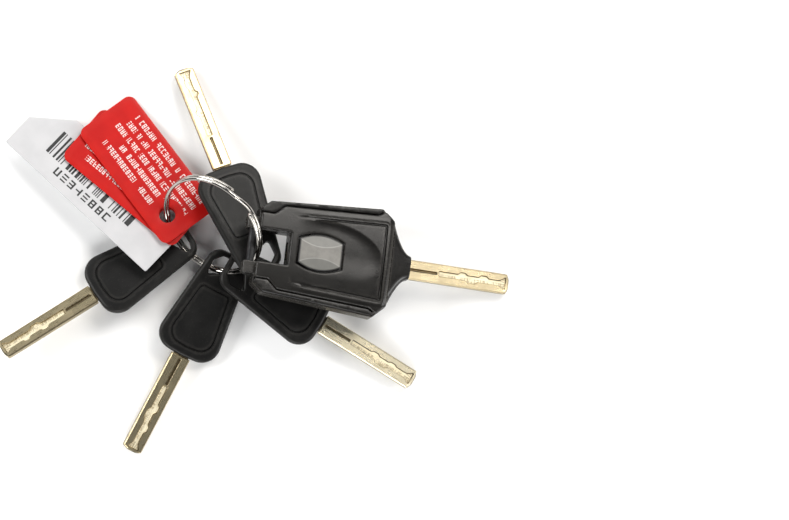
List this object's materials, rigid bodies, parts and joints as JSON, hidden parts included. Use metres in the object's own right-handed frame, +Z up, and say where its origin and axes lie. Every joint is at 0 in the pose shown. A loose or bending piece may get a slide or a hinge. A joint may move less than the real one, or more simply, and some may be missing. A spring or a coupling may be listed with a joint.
{
  "type": "key bunch",
  "caption": "Split ring lying on a table with four flat keys, one thick key with a push-button light in its head, a white bar-code tag and two red tags.",
  "frame": {"origin": "on the table under the middle of the bunch's bounding box", "axes": "+X to the right as the bunch lies, along the longest extent, towards the lit key's blade tip; +Y away from the viewer; +Z up from the table, the shortest extent"},
  "size_m": [0.167, 0.1266, 0.0302],
  "materials": {
    "ring_steel": "bright nickel-plated spring steel",
    "bow_plastic": "satin black moulded plastic",
    "nickel_silver": "satin nickel silver, milled",
    "case_plastic": "satin black moulded plastic, slightly shiny at the edges",
    "button_rubber": "cloudy grey, half shiny",
    "bar_steel": "dull steel",
    "board": "green solder mask",
    "spring_steel": "bare spring steel",
    "cell_steel": "smooth plated steel",
    "led_clear": "clear epoxy",
    "red_tag": "half-shiny red plastic card with small white print",
    "white_tag": "half-shiny white plastic card with black bars"
  },
  "bodies": {
    "ring": {"split_ring": "ring_steel"},
    "key_1": {"key_1_bow": "bow_plastic", "key_1_blade": "nickel_silver"},
    "key_2": {"key_2_bow": "bow_plastic", "key_2_blade": "nickel_silver"},
    "key_3": {"key_3_bow": "bow_plastic", "key_3_blade": "nickel_silver"},
    "key_4": {"key_4_bow": "bow_plastic", "key_4_blade": "nickel_silver"},
    "lit_key": {"lit_lower_case": "case_plastic", "lit_top_cover": "case_plastic", "lit_nose": "case_plastic", "lit_blade": "nickel_silver", "lit_ring_bar": "bar_steel", "lit_circuit_board": "board", "lit_snap_dome": "spring_steel", "lit_coin_cell": "cell_steel", "lit_cell_clip": "spring_steel", "lit_led": "led_clear", "lit_case_screw_1": "spring_steel", "lit_case_screw_2": "spring_steel", "lit_case_screw_3": "spring_steel", "lit_case_screw_4": "spring_steel"},
    "lit_button": {"lit_button": "button_rubber"},
    "white_tag": {"white_tag": "white_tag"},
    "red_tag_lower": {"red_tag_lower": "red_tag"},
    "red_tag_upper": {"red_tag_upper": "red_tag"}
  },
  "joints": [
    {"name": "key_1_swing", "type": "hinge", "parent": "ring", "child": "key_1", "pos_m": [-0.0253, 0.00758, 0.00356], "axis": [-0.1373, 0.3156, 0.9389], "range_deg": [-16, 0]},
    {"name": "key_2_swing", "type": "hinge", "parent": "ring", "child": "key_2", "pos_m": [-0.01097, -0.00312, 0.00636], "axis": [0.2082, -0.1744, 0.9624], "range_deg": [-16, 16]},
    {"name": "key_3_swing", "type": "hinge", "parent": "ring", "child": "key_3", "pos_m": [-0.00529, -0.00333, 0.01055], "axis": [0.2201, 0.1174, 0.9684], "range_deg": [-90, 10]},
    {"name": "key_4_swing", "type": "hinge", "parent": "ring", "child": "key_4", "pos_m": [-0.00062, -0.00098, 0.01596], "axis": [0.1899, 0.2783, 0.9415], "range_deg": [-20, 20]},
    {"name": "lit_key_swing", "type": "hinge", "parent": "ring", "child": "lit_key", "pos_m": [0.00188, 0.00384, 0.02159], "axis": [0.2344, 0.1468, 0.961], "range_deg": [-30, 10]},
    {"name": "white_tag_swing", "type": "hinge", "parent": "ring", "child": "white_tag", "pos_m": [-0.02786, 0.01319, 0.0059], "axis": [0.0948, 0.212, 0.9727], "range_deg": [-90, 30]},
    {"name": "red_tag_lower_swing", "type": "hinge", "parent": "ring", "child": "red_tag_lower", "pos_m": [-0.02817, 0.01445, 0.00663], "axis": [0.0963, 0.2077, 0.9734], "range_deg": [-90, 90]},
    {"name": "red_tag_upper_swing", "type": "hinge", "parent": "ring", "child": "red_tag_upper", "pos_m": [-0.02835, 0.01549, 0.0073], "axis": [0.0972, 0.207, 0.9735], "range_deg": [-90, 90]},
    {"name": "lit_button_press", "type": "slide", "parent": "lit_key", "child": "lit_button", "axis": [-0.2344, -0.1468, -0.961], "range_m": [0, 0.0005], "stiffness_N_per_m": 2000}
  ]
}
